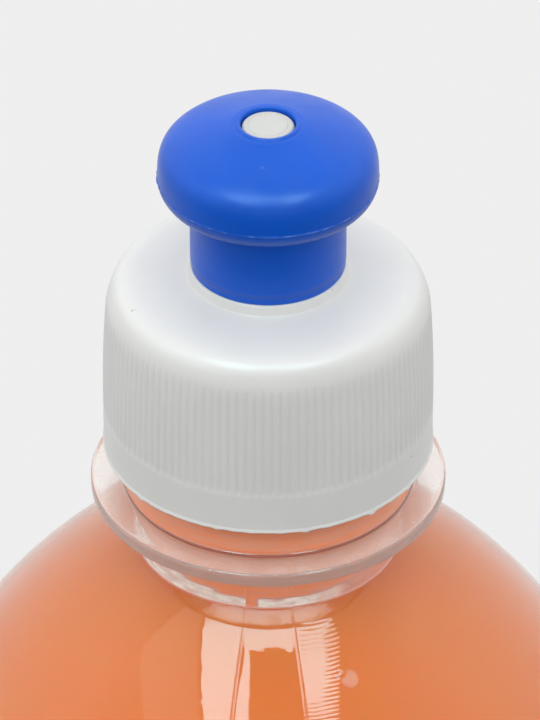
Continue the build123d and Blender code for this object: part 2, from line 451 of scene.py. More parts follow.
def new_material(name):
    """An empty node material, its tree and its output's surface input."""
    material = bpy.data.materials.new(name)
    material.use_nodes = True
    tree = material.node_tree
    tree.nodes.clear()
    return material, tree, tree.nodes.new("ShaderNodeOutputMaterial").inputs["Surface"]


def feed(tree, value, socket):
    """Links an input to another socket, or sets it to a plain value."""
    if isinstance(value, bpy.types.NodeSocket):
        tree.links.new(value, socket)
    else:
        socket.default_value = value


def add(tree, kind, **inputs):
    """Adds a node and feeds its inputs by name, with underscores for spaces."""
    made = tree.nodes.new("ShaderNode" + kind)
    for name, value in inputs.items():
        feed(tree, value, made.inputs[name.replace("_", " ")])
    return made


def add_math(tree, operation, *values):
    """A Math node on sockets or numbers."""
    made = tree.nodes.new("ShaderNodeMath")
    made.operation = operation
    for socket, value in zip(made.inputs, values):
        feed(tree, value, socket)
    return made.outputs[0]


def product(tree, first, *others):
    """The product of several sockets."""
    for other in others:
        first = add_math(tree, "MULTIPLY", first, other)
    return first


def object_place(tree):
    """The place on a piece, in Object coordinates."""
    return tree.nodes.new("ShaderNodeTexCoord").outputs["Object"]


def coordinate(tree, vector, axis):
    """One coordinate of a vector socket."""
    return add(tree, "SeparateXYZ", Vector=vector).outputs[axis]


def object_noise(tree, scale, detail=3.0, stretch=(1, 1, 1)):
    """Noise on Object coordinates: scale is in features a metre, stretched along the axes."""
    place = add(tree, "Mapping", Vector=object_place(tree), Scale=stretch).outputs[0]
    return add(tree, "TexNoise", Vector=place, Scale=scale, Detail=detail).outputs["Fac"]


def spread(tree, socket, low, high, start=0, end=1):
    """Maps a socket's range low to high onto start to end."""
    ramp = add(tree, "MapRange", Value=socket, From_Min=low, From_Max=high, To_Min=start, To_Max=end)
    return ramp.outputs["Result"]


def blend_colours(tree, factor, first, second):
    """Mix of two colours, or of sockets, by a factor socket."""
    mix = tree.nodes.new("ShaderNodeMix")
    mix.data_type = "RGBA"
    tree.links.new(factor, mix.inputs["Factor"])
    for name, value in (("A", first), ("B", second)):
        socket = next(slot for slot in mix.inputs if slot.name == name and slot.type == "RGBA")
        feed(tree, value if isinstance(value, bpy.types.NodeSocket) else (*value, 1), socket)
    return next(slot for slot in mix.outputs if slot.type == "RGBA")


def mix_shaders(tree, factor, first, second):
    """Mix of two shader nodes by a factor, which is a socket or a number."""
    mix = add(tree, "MixShader", Fac=factor)
    tree.links.new(first.outputs[0], mix.inputs[1])
    tree.links.new(second.outputs[0], mix.inputs[2])
    return mix


def coat(tree, surface, **inputs):
    """Joins a Principled shader with these inputs to the surface."""
    tree.links.new(add(tree, "BsdfPrincipled", **inputs).outputs[0], surface)


def bump(tree, height, strength, distance, **under):
    """A Bump node over a height socket, laid over another Normal where one is given."""
    return add(tree, "Bump", Height=height, Strength=strength, Distance=distance, **under).outputs["Normal"]


def grain(tree, scale):
    """Normal of the fine grain on moulded plastic."""
    return bump(tree, object_noise(tree, scale, 4.0), strength=0.12, distance=0.06 * MM)


def two_tones(tree, base, depth, scale, detail=3.0):
    """A colour with soft patches of a darker tone."""
    tone = spread(tree, object_noise(tree, scale, detail), *NOISE_CORE)
    return blend_colours(tree, tone, base, [channel * depth for channel in base])


def specks(tree, scale, reach, patch_scale):
    """1 on small round specks and 0 elsewhere, thinned out by a broad noise."""
    cells = add(tree, "TexVoronoi", Vector=object_place(tree), Scale=scale)
    dots = spread(tree, cells.outputs["Distance"], reach, reach * 0.5)
    return product(tree, dots, spread(tree, object_noise(tree, patch_scale), 0.58, 0.66))


def white_plastic(name, white):
    """Moulded white plastic: satin, faintly see-through, with grain, soft patches and specks of dirt."""
    material, tree, surface = new_material(name)
    base = two_tones(tree, white, depth=0.955, scale=120.0)
    dirt = specks(tree, scale=420.0, reach=0.05, patch_scale=70.0)
    base = blend_colours(tree, dirt, base, DIRT)
    shine = spread(tree, object_noise(tree, 260.0, 4.0), *NOISE_CORE, 0.29, 0.34)
    coat(
        tree, surface, Base_Color=base, Roughness=shine, Normal=grain(tree, 2600.0), IOR=MOULDED_IOR,
        Subsurface_Weight=0.2, Subsurface_Radius=(1.0, 0.95, 0.9), Subsurface_Scale=0.8 * MM,
    )
    return material


def blue_plastic(sizes):
    """Moulded blue plastic: satin, with grain, flow patches, paler scuffs and a pale torn parting line."""
    material, tree, surface = new_material("blue_plastic")
    base = two_tones(tree, sizes.blue, depth=0.92, scale=160.0)
    scuffs = spread(tree, object_noise(tree, 900.0, 6.0, (1, 1, 0.5)), 0.7, 0.8, 0, 0.3)
    base = blend_colours(tree, scuffs, base, SCUFF)
    level = coordinate(tree, object_place(tree), "Z")
    away = add_math(tree, "SUBTRACT", level, sizes.lower_edge + sizes.equator_height)
    line = spread(tree, add_math(tree, "ABSOLUTE", away), 0.07 * MM, 0.02 * MM)
    torn = spread(tree, object_noise(tree, 900.0, 8.0, (1, 1, 0)), 0.5, 0.66, 0.06, 0.6)
    base = blend_colours(tree, product(tree, line, torn), base, TORN_EDGE)
    shine = spread(tree, object_noise(tree, 420.0, 4.0), *NOISE_CORE, 0.28, 0.38)
    coat(
        tree, surface, Base_Color=base, Roughness=shine, Normal=grain(tree, 3000.0), IOR=MOULDED_IOR,
        Specular_IOR_Level=0.37,
    )
    return material


WAVE_RATE = 20 / FULL_TURN  # waves a metre in a wave texture with a scale of 1
RIPPLE_PITCH = 0.26 * MM  # between stretch ripples, measured up the bottle
RIPPLE_EDGES = (("X", 2.6, 3.4), ("X", 7.2, 6.2), ("Y", -12.6, -14.0))  # axis, none, full, in millimetres
BUBBLES = ((6.68, -16.73, 227.08), (6.41, -17.08, 226.89))  # middles of trapped bubbles, in millimetres
BUBBLE_RADIUS = 0.15 * MM
BLISTER = (7.5, -17.05, 226.55)  # middle of the pale patch beside them


def away_from(tree, place, middle):
    """Distance of a place socket from a point given in millimetres."""
    gap = tree.nodes.new("ShaderNodeVectorMath")
    gap.operation = "DISTANCE"
    tree.links.new(place, gap.inputs[0])
    gap.inputs[1].default_value = [length * MM for length in middle]
    return gap.outputs["Value"]


def stretch_ripples(tree, place):
    """Fine waves that climb one strip of the shoulder, like a thumb print."""
    waves = add(
        tree, "TexWave", Vector=place, Scale=1 / WAVE_RATE / RIPPLE_PITCH, Distortion=2.5, Detail=1.0,
        Detail_Scale=0.25,
    )
    waves.bands_direction = "Z"
    edges = [
        spread(tree, coordinate(tree, place, axis), none * MM, full * MM) for axis, none, full in RIPPLE_EDGES
    ]
    return product(tree, waves.outputs["Fac"], *edges)


def trapped_bubbles(tree, place):
    """Haze of two pin-head bubbles, each a thin ring, and of the pale crescent beside them."""
    patch = spread(tree, away_from(tree, place, BLISTER), 1.0 * MM, 0.6 * MM, 0, 0.15)
    bite = spread(tree, away_from(tree, place, BUBBLES[0]), 0.5 * MM, 0.65 * MM)
    haze = product(tree, patch, bite)
    for middle in BUBBLES:
        off = add_math(tree, "SUBTRACT", away_from(tree, place, middle), BUBBLE_RADIUS)
        ring = spread(tree, add_math(tree, "ABSOLUTE", off), 0.07 * MM, 0.03 * MM, 0, 0.35)
        haze = add_math(tree, "MAXIMUM", haze, ring)
    return haze


def marked(tree, name):
    """The numbers that add_marks stored under a name."""
    layer = tree.nodes.new("ShaderNodeAttribute")
    layer.attribute_name = name
    return layer.outputs["Fac"]


def clear_plastic(sizes):
    """Blown clear plastic: glassy, with soft waves, stretch ripples and bubbles.

    It is clouded where the haze marks say, and the haze marks' pale band at the
    neck's root is a painted highlight. It is orange where the film marks do,
    and it lets shadow rays straight through.
    """
    material, tree, surface = new_material("clear_plastic")
    place = object_place(tree)
    waves = bump(tree, object_noise(tree, 90.0, 2.0), 0.2, 0.4 * MM)
    uneven = bump(tree, object_noise(tree, 420.0, 2.0, (1, 1, 2.6)), 0.08, 0.12 * MM, Normal=waves)
    skin = bump(tree, stretch_ripples(tree, place), 0.26, 0.04 * MM, Normal=uneven)
    film = marked(tree, "film")
    patches = spread(tree, object_noise(tree, 520.0, 5.0, (1, 1, 3)), 0.25, 0.75, 0.7, 1.2)
    # The haze marks hold the real clouding and the painted highlight at the neck's root
    haze_and_highlight = product(tree, marked(tree, "haze"), patches)
    haze_and_highlight = add_math(tree, "MAXIMUM", haze_and_highlight, trapped_bubbles(tree, place))
    streaks = spread(tree, object_noise(tree, 300.0, 6.0, (1, 1, 9)), *NOISE_CORE, 0.9, 1.1)
    streaked = product(tree, film, streaks, spread(tree, haze_and_highlight, 0, 1, 1, 0))
    tint = blend_colours(tree, haze_and_highlight, sizes.plastic_tint, sizes.haze_and_highlight_tint)
    shader = add(
        tree, "BsdfPrincipled", Normal=skin, IOR=BLOWN_IOR, Sheen_Roughness=0.35,
        Base_Color=blend_colours(tree, streaked, tint, sizes.film_tint),
        Transmission_Weight=spread(tree, add_math(tree, "MAXIMUM", haze_and_highlight, streaked), 0, 1, 1, 0),
        Roughness=spread(tree, haze_and_highlight, 0, 1, 0.03, 0.3),
        Sheen_Weight=spread(tree, film, 0, 0.5, 0.7, 0),
    )
    ray = tree.nodes.new("ShaderNodeLightPath")
    through = add(tree, "BsdfTransparent", Color=(*sizes.plastic_tint, 1))
    tree.links.new(mix_shaders(tree, ray.outputs["Is Shadow Ray"], shader, through).outputs[0], surface)
    return material


def orange_soap(sizes):
    """Cloudy orange liquid: light wanders a little way in it, red the farthest."""
    material, tree, surface = new_material("orange_soap")
    base = two_tones(tree, sizes.soap_tint, depth=0.94, scale=22.0, detail=2.0)
    coat(
        tree, surface, Base_Color=base, Roughness=0.6, Specular_IOR_Level=0.0, Subsurface_Weight=1.0,
        Subsurface_Radius=(1.0, 0.45, 0.2), Subsurface_Scale=sizes.soap_glow,
    )
    return material


def washer_foam(sizes):
    """Closed-cell foam: matt, with fine open pores, whose hollows are darkened as painted shade."""
    material, tree, surface = new_material("washer_foam")
    cells = add(tree, "TexVoronoi", Vector=object_place(tree), Scale=2200.0).outputs["Distance"]
    pores = spread(tree, cells, 0.1, 0.5)
    # Painted shade: the foam is darker in the pores' hollows, where the bump sinks
    base = blend_colours(tree, pores, [channel * 0.8 for channel in sizes.foam], sizes.foam)
    coat(tree, surface, Base_Color=base, Normal=bump(tree, pores, 0.5, 0.1 * MM), Roughness=0.9)
    return material


# Bottle

BODY_SPAN, COLLAR_SPAN, BORE_SPAN = 5 * MM, 0.35 * MM, 2 * MM  # longest spans of the outlines
MENISCUS_RISE, MENISCUS_REACH = 0.9 * MM, 1.2 * MM
SKIN = 0.2 * MM  # reach round a face that counts as part of it
# The pale band at the neck's root is a painted highlight of the lamps in the root's fillet
BAND_RISE, BAND_SWELL = 1.0 * MM, 1.7 * MM  # pale band at the neck's root: height in front, more at the sides
BAND_EDGE, BAND_WOBBLE = 0.12 * MM, 0.05 * MM
THREAD_SKIN = 0.02 * MM  # reach round the thread's root that carries the thread
RING_FILLET = 1.4  # rounding above the support ring, in roundings of its edges
BAND_GAP = ((-9.8, -9.2), (-5.4, -4.8))  # degrees from the front, the two edges of a break in the band
BAND_FADE = (18, 48)  # degrees from the front, over which the band pales


def ring_foot(sizes):
    """Level of the support ring's lower face."""
    return sizes.ring_level - sizes.ring_thickness


def neck_foot(sizes):
    """Level where the neck's straight side would meet the shoulder."""
    return ring_foot(sizes) - sizes.lower_neck_length


def shoulder_centre(sizes):
    """Centre of the shoulder's arc, level with the top of the straight body."""
    offset = sizes.body_radius - sizes.shoulder_radius
    span = math.sqrt(sizes.shoulder_radius**2 - (sizes.lower_neck_radius - offset) ** 2)
    return np.array([offset, neck_foot(sizes) - span])


def body_outline(sizes, inset, neck_radius):
    """Outline from the base's middle over heel, body and shoulder to the neck, drawn in by the inset.

    The neck's root is an arc that touches the shoulder's arc and the neck:
    its centre lies one rounding outside both.
    """
    chord = sizes.body_radius - sizes.heel_radius - sizes.foot_land
    sphere = (chord**2 + sizes.push_up**2) / (2 * sizes.push_up) + inset
    sphere_level = sizes.push_up + inset - sphere
    foot_angle = math.degrees(math.asin((inset - sphere_level) / sphere))
    base = arc((0, sphere_level), sphere, 90, foot_angle, 24)
    side = sizes.body_radius - inset
    heel = arc((side - sizes.heel_radius + inset, sizes.heel_radius), sizes.heel_radius - inset, -90, 0, 16)
    centre = shoulder_centre(sizes)
    bend = sizes.shoulder_radius - inset
    root_radius = neck_radius + sizes.neck_root
    root_level = centre[1] + math.sqrt((bend + sizes.neck_root) ** 2 - (root_radius - centre[0]) ** 2)
    rise = math.degrees(math.atan2(root_level - centre[1], root_radius - centre[0]))
    shoulder = arc(centre, bend, 0, rise, 60)
    root = arc((root_radius, root_level), sizes.neck_root, rise + 180, 180, 10)
    return np.concatenate([base, heel, shoulder, root])


def bottle_outline(sizes):
    """Outline of the bottle's wall: outside up to the rim, then inside down to the base."""
    ring_bottom = ring_foot(sizes)
    bead_bottom = sizes.ring_level + sizes.bead_rise
    bead_top = bead_bottom + sizes.bead_height
    edge = sizes.ring_rounding
    outside = body_outline(sizes, 0, sizes.lower_neck_radius)
    inside = body_outline(sizes, sizes.wall, sizes.bore_radius)[::-1]
    neck = without_repeats(rounded([
        (*outside[-1], 0),
        (sizes.lower_neck_radius, ring_bottom, edge),
        (sizes.ring_radius, ring_bottom, edge),
        (sizes.ring_radius, sizes.ring_level, edge),
        (sizes.upper_neck_radius, sizes.ring_level, RING_FILLET * edge),
        (sizes.upper_neck_radius, bead_bottom, edge),
        (sizes.bead_radius, bead_bottom, edge),
        (sizes.bead_radius, bead_top, edge),
        (sizes.thread_root, bead_top, edge),
        (sizes.thread_root, sizes.rim_level, edge),
        (sizes.bore_radius, sizes.rim_level, edge),
        (*inside[0], 0),
    ]))
    body = densified(without_repeats(outside), BODY_SPAN)
    collar = densified(neck[:-1], COLLAR_SPAN)
    bore = densified(neck[-2:], BORE_SPAN)
    hollow = densified(without_repeats(inside), BODY_SPAN)
    return without_repeats(np.concatenate([body, collar, bore, hollow]))


SEAM_AZIMUTHS = (-99.2, -80.3, 82.5)  # degrees: two lines near the front and one behind
SEAM_WIDTH = 0.12 * MM


def seamed_angles(count):
    """Angles round the axis, with extra ones close to each mould seam."""
    even = np.linspace(0, 360, count, endpoint=False)
    near = np.array([-0.8, -0.5, -0.3, -0.15, 0, 0.15, 0.3, 0.5, 0.8])
    extra = (np.array(SEAM_AZIMUTHS)[:, None] + near).ravel() % 360
    return np.radians(np.unique(np.round(np.concatenate([even, extra]), 4)))


def mould_seams(sizes, radii, angles):
    """Height of the fine lines that the blow mould leaves: a bell curve across each seam's width."""
    gaps = np.radians(np.array(SEAM_AZIMUTHS))[:, None, None] - angles
    across = np.abs((gaps + math.pi) % FULL_TURN - math.pi) * radii
    return sizes.seam_height * np.exp(-((across / SEAM_WIDTH) ** 2)).sum(axis=0)


def neck_haze_and_highlight(sizes, outer, radii, levels, angles):
    """Haze on the moulded neck, and a painted highlight at its root.

    The haze grows outwards on the ring and is even above it. The pale broken
    band at the neck's root is a painted highlight: it stands for the lamps
    mirrored in the root's fillet.
    """
    ring_bottom = ring_foot(sizes)
    on_ring = outer * (levels > ring_bottom - SKIN) * (radii > sizes.upper_neck_radius - SKIN)
    above = outer * (levels > sizes.ring_level) * (levels < sizes.ring_level + sizes.bead_rise)
    root = neck_foot(sizes)
    front = (angles + math.pi / 2 + math.pi) % FULL_TURN - math.pi
    ragged = BAND_WOBBLE * hand_wobble(angles, 23, (7, 17, 31))
    reach = root + BAND_RISE + BAND_SWELL * np.sin(front) ** 2 + ragged
    low = smooth_step(root + 0.02 * MM, root + BAND_EDGE, levels)
    high = 1 - smooth_step(-BAND_EDGE, BAND_EDGE, levels - reach)
    gap = 1 - plateau(*BAND_GAP, np.degrees(front))
    fading = 1 - 0.7 * smooth_step(*BAND_FADE, np.degrees(front))
    # Painted highlight: this band stands for the lamps mirrored in the root's fillet
    band = outer * low * high * gap * fading
    outwards = smooth_step(sizes.upper_neck_radius, sizes.ring_radius - 0.5 * MM, radii)
    ring = sizes.ring_haze * on_ring * (0.4 + 0.6 * outwards * (levels > sizes.ring_level - 0.1 * MM))
    return np.maximum(np.maximum(ring, sizes.neck_haze * above), sizes.root_highlight * band)


def neck_film(sizes, outer, radii, levels):
    """Share of soap film on the neck.

    It is thick under the cap, thinner under the ring, and a trace on the ring
    that grows at its edge.
    """
    ring_bottom = ring_foot(sizes)
    above = outer * (levels > sizes.ring_level + 0.1 * MM) * (levels < sizes.ring_level + sizes.bead_rise)
    top = ring_bottom - 0.3 * MM
    root = neck_foot(sizes)
    below = outer * smooth_step(root - 0.1 * MM, root + 0.15 * MM, levels) * (levels < top)
    on_ring = outer * (levels > top) * (radii > sizes.upper_neck_radius)
    on_edge = on_ring * (radii > sizes.ring_radius - 0.3 * MM)
    ring = sizes.ring_film * (on_ring + 5 * on_edge)
    return np.maximum(sizes.upper_film * above + sizes.lower_film * below, ring)


def build_bottle(sizes):
    """Clear bottle: the wall's outline spun round the axis, with thread and seams added to the radius."""
    outline = bottle_outline(sizes)
    angles = seamed_angles(192)[None]
    radii, levels = np.hsplit(outline, 2)
    on_root = np.abs(radii - sizes.thread_root) < THREAD_SKIN
    thread = thread_ridge(sizes, angles, levels, 0) * on_root * (sizes.thread_crest - sizes.thread_root)
    top = np.argmax(outline[:, 1])
    outer = (np.arange(len(outline)) < top)[:, None]
    blown = outer * (levels < ring_foot(sizes)) * (levels > sizes.heel_radius)
    seams = mould_seams(sizes, radii, angles) * blown
    solid = spin(radii + thread + seams - sizes.seam_height * blown, levels, angles, loop=False)
    piece = make_piece("clear_bottle", solid, clear_plastic(sizes), "bottle", "bottle")
    # The haze marks also carry the painted highlight at the neck's root
    add_marks(piece, "haze", neck_haze_and_highlight(sizes, outer, radii, levels, angles))
    film = neck_film(sizes, outer, radii, levels)
    add_marks(piece, "film", np.broadcast_to(film, (len(outline), angles.size)))


def build_soap(sizes):
    """Soap: the bottle's hollow, its skin just inside the wall, closed by a shallow meniscus.

    The meniscus climbs by rise exp(-d / reach) at a distance d from the neck's wall.
    """
    inset = sizes.wall - sizes.soap_overlap
    neck_radius = sizes.bore_radius + sizes.soap_overlap
    sides = body_outline(sizes, inset, neck_radius)
    reach = np.linspace(1, 0, 24)
    climb = MENISCUS_RISE * np.exp(-(1 - reach) * neck_radius / MENISCUS_REACH)
    surface = np.stack([reach * neck_radius, sizes.soap_level - MENISCUS_RISE + climb], axis=1)
    neck = densified(np.stack([sides[-1], surface[0]]), 1.5 * MM)
    body = densified(without_repeats(sides), BODY_SPAN)
    outline = without_repeats(np.concatenate([body, neck, surface]))
    solid = spin(*np.hsplit(outline, 2), even_angles(192), loop=False)
    make_piece("soap_fill", solid, orange_soap(sizes), "bottle", "liquid_soap")


# Cap

RIB_COLUMN_SHARES = np.array([0.0, 0.3, 0.44, 0.56, 0.7])  # of one rib's pitch; the groove's middle is at 0.5
BURR_AZIMUTHS = np.radians([-51.6, -77.0, -108.0, -33.0, -140.0, 40.0, 110.0])
BURR_HEIGHTS = np.array([0.30, 0.16, 0.12, 0.2, 0.14, 0.22, 0.15]) * MM
BURR_WIDTH = 0.35 * MM
BAND_STOP = 0.03 * MM  # below the band's top, where the ribs' part of the outline starts
HALF_WALL = 0.3 * MM  # from the skirt's inside to between its two faces
ON_FACE = 0.001 * MM  # distance from a face that counts as on it
POST_DROP, TIP_DISH = 0.2 * MM, 0.03 * MM  # the post's end below its spokes, and the hollow in its tip
FOOT_ROUNDING, TIP_ROUNDING = 0.3 * MM, 0.35 * MM  # of the post
WASHER_ROUNDING = 0.2 * MM
HEM_WOBBLE, HEM_REACH = 0.035 * MM, 0.5 * MM
RIB_FOOT = 0.9 * MM  # height over which the grooves start, and how far they run into the top edge
# Groove on the plug's tip: share of the post's radius, then depth and rounding in millimetres
TIP_GROOVE = ((0.8, 0, 0.05), (0.78, 0.06, 0.04), (0.74, 0.06, 0.04), (0.72, 0.01, 0.05))


def boss_level(sizes):
    """Level of the boss's top."""
    return sizes.lower_edge + sizes.boss_foot_height + sizes.boss_height


def cap_outline(sizes):
    """Closed outline of the cap's wall: outside up to the boss, over the chimney, then the inside down."""
    bottom = sizes.lower_edge
    band_top = bottom + sizes.band_height
    barrel_level = bottom + sizes.barrel_start
    skirt_top = bottom + sizes.skirt_height
    boss_foot = bottom + sizes.boss_foot_height
    boss_top = boss_level(sizes)
    edge = sizes.edge_rounding
    turn = math.degrees(math.asin((skirt_top - barrel_level) / sizes.barrel_radius))
    barrel = arc((sizes.band_radius - sizes.barrel_radius, barrel_level), sizes.barrel_radius, 0, turn, 10)
    side_top = barrel[-1]
    lean, slope = sizes.edge_lean, sizes.top_slope
    edge_handle = side_top + sizes.edge_reach * np.array([-math.sin(lean), math.cos(lean)])
    foot = np.array([sizes.boss_foot_radius, boss_foot])
    top_handle = foot + sizes.top_reach * np.array([math.cos(slope), -math.sin(slope)])
    dome = bezier(side_top, edge_handle, top_handle, foot, 22)
    lower = rounded([
        (sizes.band_inside, bottom + 2 * edge, 0),
        (sizes.band_inside, bottom, edge / 2),
        (sizes.band_radius + sizes.edge_lip, bottom, edge / 3),
        (sizes.band_radius + sizes.edge_lip, bottom + 0.6 * edge, edge / 4),
        (sizes.band_radius, bottom + 1.5 * edge, edge / 2),
        (sizes.band_radius, band_top - BAND_STOP, 0),
    ], 5)
    upper = upright(sizes.band_radius, np.linspace(band_top, barrel_level, 11))
    chimney_top = boss_top + sizes.chimney_height
    bead_top = chimney_top - sizes.chimney_lip
    bead_bottom = bead_top - sizes.chimney_bead_height
    bead_radius = sizes.chimney_radius + sizes.chimney_bead
    tube = rounded([
        (*dome[-2], 0),
        (*foot, edge),
        (sizes.boss_radius, boss_top, edge),
        (sizes.chimney_radius, boss_top, edge / 2),
        (sizes.chimney_radius, bead_bottom, edge / 3),
        (bead_radius, bead_bottom, edge / 3),
        (bead_radius, bead_top - sizes.chimney_bead, edge / 3),
        (sizes.chimney_radius, bead_top, edge / 3),
        (sizes.chimney_radius, chimney_top, edge / 2),
        (sizes.chimney_bore, chimney_top, edge / 2),
        (sizes.chimney_bore, sizes.plate_level, edge),
        (sizes.inner_radius, sizes.plate_level, edge),
        (sizes.inner_radius, sizes.plate_level - 2 * edge, 0),
    ], 4)
    inner = upright(sizes.inner_radius, np.linspace(sizes.plate_level - 2 * edge, band_top + edge, 42))
    step = rounded([
        (*inner[-1], 0),
        (sizes.inner_radius, band_top, edge / 2),
        (sizes.band_inside, band_top, edge / 2),
        (sizes.band_inside, bottom + 3 * edge, 0),
    ], 4)
    outside = densified(np.concatenate([lower, upper, barrel[1:]]), 1.2 * MM)
    pieces = [outside, dome[1:-2], tube, inner, step]
    return without_repeats(np.concatenate(pieces))


def rib_angles(count):
    """Angles of the mesh's columns, a few at chosen places on each rib."""
    turns = (np.arange(count)[:, None] + RIB_COLUMN_SHARES) / count
    return turns.ravel() * FULL_TURN


def rib_grooves(sizes, angles, levels):
    """Depth of the grip grooves: a narrow rounded valley in each pitch, dying out at foot and top."""
    phase = np.cos(sizes.rib_count * angles + math.pi)
    valley = smooth_step(-0.35, 0.9, phase)
    foot = sizes.lower_edge + sizes.band_height
    top = sizes.lower_edge + sizes.skirt_height + RIB_FOOT
    return sizes.rib_depth * valley * plateau((foot, foot + RIB_FOOT), (top - sizes.rib_fade, top), levels)


def lower_burrs(sizes, angles, levels):
    """Drop of the lower edge: a faint wobble and a few short burrs, each a bell curve round the axis."""
    gaps = (BURR_AZIMUTHS[:, None] - angles + math.pi) % FULL_TURN - math.pi
    nubs = (BURR_HEIGHTS[:, None] * np.exp(-((gaps * sizes.band_radius / BURR_WIDTH) ** 2))).sum(axis=0)
    ragged = HEM_WOBBLE * hand_wobble(angles, 11, (5, 9, 23, 41, 67))
    near_edge = 1 - smooth_step(0, HEM_REACH, levels - sizes.lower_edge)
    return (nubs + ragged) * near_edge


def build_cap(sizes, bottle):
    """White cap: its wall's closed outline spun round the axis, with ribs, thread and burrs."""
    outline = cap_outline(sizes)
    angles = rib_angles(sizes.rib_count)[None]
    radii, levels = np.hsplit(outline, 2)
    outer = (radii > sizes.inner_radius + HALF_WALL) * (levels < boss_level(sizes))
    outer = outer * (np.arange(len(outline)) < np.argmax(outline[:, 1]))[:, None]
    grooves = rib_grooves(sizes, angles, levels) * outer
    on_wall = np.abs(radii - sizes.inner_radius) < ON_FACE
    thread = thread_ridge(bottle, angles, levels, 1) * on_wall * (sizes.inner_radius - sizes.thread_crest)
    drop = lower_burrs(sizes, angles[0], levels)
    solid = spin(radii - grooves - thread, levels - drop, angles, loop=True)
    finish = white_plastic("white_plastic", sizes.white)
    make_piece("cap_shell", solid, finish, "cap", "cap_body")


def spoke(sizes, azimuth, level):
    """One spoke: a rounded bar from the post's middle to the chimney's wall.

    Its section is a superellipse with exponent 6, carried out along the bar.
    """
    around = np.linspace(0, FULL_TURN, 24, endpoint=False)
    across = sizes.spoke_width / 2 * np.sign(np.cos(around)) * np.abs(np.cos(around)) ** (1 / 3)
    rise = sizes.spoke_height / 2 * np.sign(np.sin(around)) * np.abs(np.sin(around)) ** (1 / 3)
    length = (sizes.chimney_bore + sizes.chimney_radius) / 2
    out = np.array([0, 0, 0.33, 0.66, 1, 1])[:, None] * length
    grow = np.array([0, 1, 1, 1, 1, 0])[:, None]
    x, y = np.broadcast_arrays(out, grow * across)
    turned = np.stack([
        x * math.cos(azimuth) - y * math.sin(azimuth),
        x * math.sin(azimuth) + y * math.cos(azimuth),
        level + sizes.spoke_height / 2 + grow * rise,
    ], axis=-1)
    return skinned(turned, loop=False)


def build_plug(sizes):
    """Plug post that closes the nozzle's mouth, with the spokes that carry it."""
    spoke_bottom = boss_level(sizes) + sizes.chimney_height - sizes.spoke_height
    outline = rounded([
        (0, spoke_bottom - POST_DROP, 0),
        (sizes.post_radius, spoke_bottom - POST_DROP, FOOT_ROUNDING),
        (sizes.post_radius, sizes.post_top, TIP_ROUNDING),
        *((sizes.post_radius * out, sizes.post_top - deep * MM, soft * MM) for out, deep, soft in TIP_GROOVE),
        (0, sizes.post_top - TIP_DISH, 0),
    ])
    outline = densified(without_repeats(outline), 0.4 * MM)
    post = spin(*np.hsplit(outline, 2), even_angles(96), loop=False)
    spokes = [spoke(sizes, math.radians(turn), spoke_bottom) for turn in (0, 120, 240)]
    # Painted shade: the plug's white is darkened to stand for the shade of its recess in the mouth
    finish = white_plastic("shaded_white_plastic", [channel * sizes.tip_shade for channel in sizes.white])
    make_piece("cap_plug", joined(post, *spokes), finish, "cap", "cap_body")


def build_washer(sizes):
    """Foam washer: a flat ring with softly pressed edges."""
    low, high = sizes.washer_bottom, sizes.plate_level
    soft = WASHER_ROUNDING
    middle = (low + high) / 2
    outline = rounded([
        (sizes.washer_inside, middle, 0),
        (sizes.washer_inside, low, soft),
        (sizes.washer_outside, low, soft),
        (sizes.washer_outside, high, soft),
        (sizes.washer_inside, high, soft),
        (sizes.washer_inside, middle + 0.05 * MM, 0),
    ])
    outline = densified(without_repeats(outline), 0.3 * MM)
    solid = spin(*np.hsplit(outline, 2), even_angles(180), loop=True)
    make_piece("foam_washer", solid, washer_foam(sizes), "washer", "sealing_washer")


# Nozzle

SOFT_EDGE = 0.15 * MM  # rounding of the nozzle's edges
LINE_DEPTH, LINE_HEIGHT = 0.05 * MM, 0.04 * MM  # of the fine step round the sleeve
FLASH_WIDTH, FLASH_REACH = 0.09 * MM, 0.24 * MM
LIP_REACH = 0.7 * MM  # from the mouth's rim to where the crown's curve stops
# Small lip round the mouth: distance from the rim and depth in millimetres, rounding as a share
MOUTH_LIP = ((0.62, 0.16, 0), (0.36, 0.17, 0.5), (0.24, 0, 0.5))


